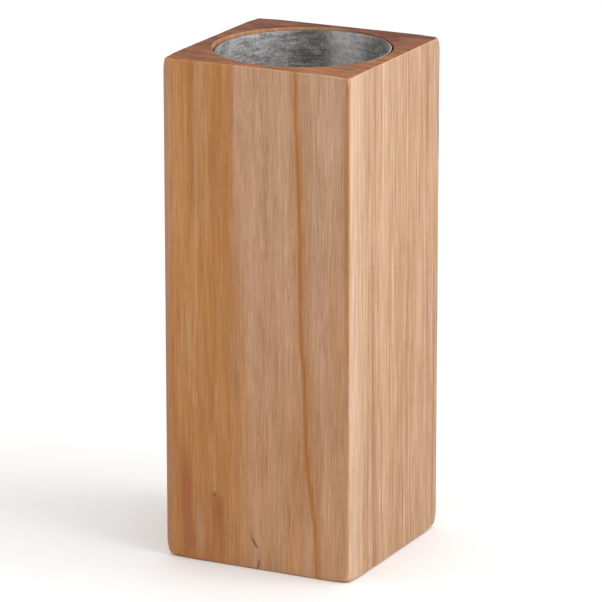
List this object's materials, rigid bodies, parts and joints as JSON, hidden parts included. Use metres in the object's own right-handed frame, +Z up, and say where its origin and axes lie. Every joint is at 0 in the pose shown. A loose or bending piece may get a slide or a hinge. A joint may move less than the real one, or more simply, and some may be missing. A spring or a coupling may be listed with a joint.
{
  "type": "pillar candle holder",
  "caption": "Tall square wooden column bored from the top, with a loose galvanised sheet cup standing in the bore to hold a pillar candle.",
  "frame": {"origin": "centre of the square underside, on the surface that the column stands on", "axes": "+Z up along the column, -Y out of the broad flat-sawn face, +X out of the quarter-sawn face"},
  "size_m": [0.08, 0.08, 0.2],
  "materials": {
    "timber": "sanded solid hardwood with a thin oiled finish, flat-sawn on two sides and quarter-sawn on the other two",
    "zinc_sheet": "bare galvanised sheet steel, dull grey, with fine horizontal brush lines and a blotchy spangle"
  },
  "bodies": {
    "block": {"wood_block": "timber"},
    "cup": {"cup_wall": "zinc_sheet", "cup_base": "zinc_sheet"}
  },
  "joints": [
    {"name": "cup_lift", "type": "slide", "parent": "block", "child": "cup", "axis": [0, 0, 1], "range_m": [0, 0.065]}
  ]
}
